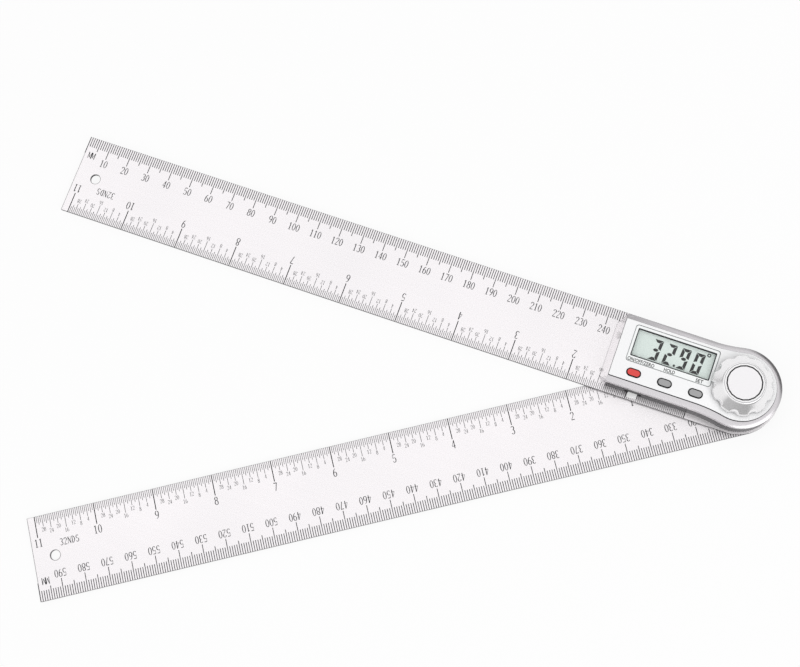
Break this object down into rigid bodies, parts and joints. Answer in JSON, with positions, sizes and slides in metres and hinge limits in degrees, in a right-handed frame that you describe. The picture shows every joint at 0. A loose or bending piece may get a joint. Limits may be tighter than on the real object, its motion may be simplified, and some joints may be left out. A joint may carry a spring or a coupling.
{
  "type": "digital angle finder",
  "caption": "Hinged pair of flat steel rulers with a digital angle display head and a fluted lock knob on the pivot.",
  "frame": {"origin": "on the pivot axis, at the underside of the swinging ruler, which is the plane the tool lies on", "axes": "+Z along the pivot axis, up through the lock knob; -X along the fixed ruler from the pivot to its tip; the swinging ruler lies on the -Y side"},
  "size_m": [0.3177, 0.1957, 0.0205],
  "materials": {
    "bearing_brass": "turned brass",
    "board_green": "green circuit board",
    "button_grey": "grey key",
    "button_red": "red key",
    "cap_white": "fine white disc",
    "cell_steel": "plated coin cell",
    "chip_black": "black package",
    "contact_gold": "plated spring leaf",
    "cover_silver": "silver-white painted moulding",
    "dome_steel": "thin pressed steel",
    "face_white": "plain white face with a dark edge",
    "frame_plastic": "dark moulded plastic",
    "holder_plastic": "light moulding",
    "knob_plastic": "silver-white moulding",
    "lcd_glass": "pale green-grey reflective display",
    "ruler_steel": "satin steel with fine lengthwise grain",
    "screw_steel": "small steel screws",
    "tab_white": "white tab",
    "turned_steel": "turned steel",
    "washer_white": "slippery plastic",
    "window_clear": "clear plate",
    "zebra_rubber": "layered conductive rubber"
  },
  "bodies": {
    "head": {"fixed_ruler": "ruler_steel", "base_frame": "frame_plastic", "head_cover": "cover_silver", "face_plate": "face_white", "display_window": "window_clear", "lcd_panel": "lcd_glass", "lcd_holder": "holder_plastic", "zebra_strips": "zebra_rubber", "circuit_board": "board_green", "measuring_chip": "chip_black", "switch_domes": "dome_steel", "positive_contact": "contact_gold", "negative_contact": "contact_gold", "bearing_ring": "bearing_brass", "collar_bush": "turned_steel", "slip_washer": "washer_white", "cover_screws": "screw_steel", "board_screws": "screw_steel"},
    "power_button": {"power_button": "button_red"},
    "hold_button": {"hold_button": "button_grey"},
    "set_button": {"set_button": "button_grey"},
    "battery": {"battery_tray": "frame_plastic", "pull_tab": "tab_white", "coin_cell": "cell_steel"},
    "swing_arm": {"swing_ruler": "ruler_steel", "pivot_hub": "turned_steel", "hub_screws": "screw_steel", "rotor_disc": "board_green", "rotor_screws": "screw_steel", "stop_clip": "screw_steel"},
    "clamp_washer": {"clamp_washer": "turned_steel"},
    "lock_knob": {"lock_knob": "knob_plastic", "knob_insert": "bearing_brass", "knob_cap": "cap_white"}
  },
  "joints": [
    {"name": "arm_swing", "type": "hinge", "parent": "head", "child": "swing_arm", "pos_m": [0, 0, 0], "axis": [0, 0, 1], "continuous": true},
    {"name": "power_press", "type": "slide", "parent": "head", "child": "power_button", "axis": [0, 0, -1], "range_m": [0, 0.0005], "stiffness_N_per_m": 3000, "springref_m": -0.0002},
    {"name": "hold_press", "type": "slide", "parent": "head", "child": "hold_button", "axis": [0, 0, -1], "range_m": [0, 0.0005], "stiffness_N_per_m": 3000, "springref_m": -0.0002},
    {"name": "set_press", "type": "slide", "parent": "head", "child": "set_button", "axis": [0, 0, -1], "range_m": [0, 0.0005], "stiffness_N_per_m": 3000, "springref_m": -0.0002},
    {"name": "tray_pull", "type": "slide", "parent": "head", "child": "battery", "axis": [0, -1, 0], "range_m": [0, 0.022]},
    {"name": "clamp_rise", "type": "slide", "parent": "swing_arm", "child": "clamp_washer", "axis": [0, 0, 1], "range_m": [0, 0.0005]},
    {"name": "knob_turn", "type": "hinge", "parent": "clamp_washer", "child": "lock_knob", "pos_m": [0, 0, 0.0149], "axis": [0, 0, 1], "range_deg": [0, 180]}
  ],
  "couplings": [
    {"joint": "clamp_rise", "follows": "knob_turn", "m_per_rad": 0.000159}
  ]
}
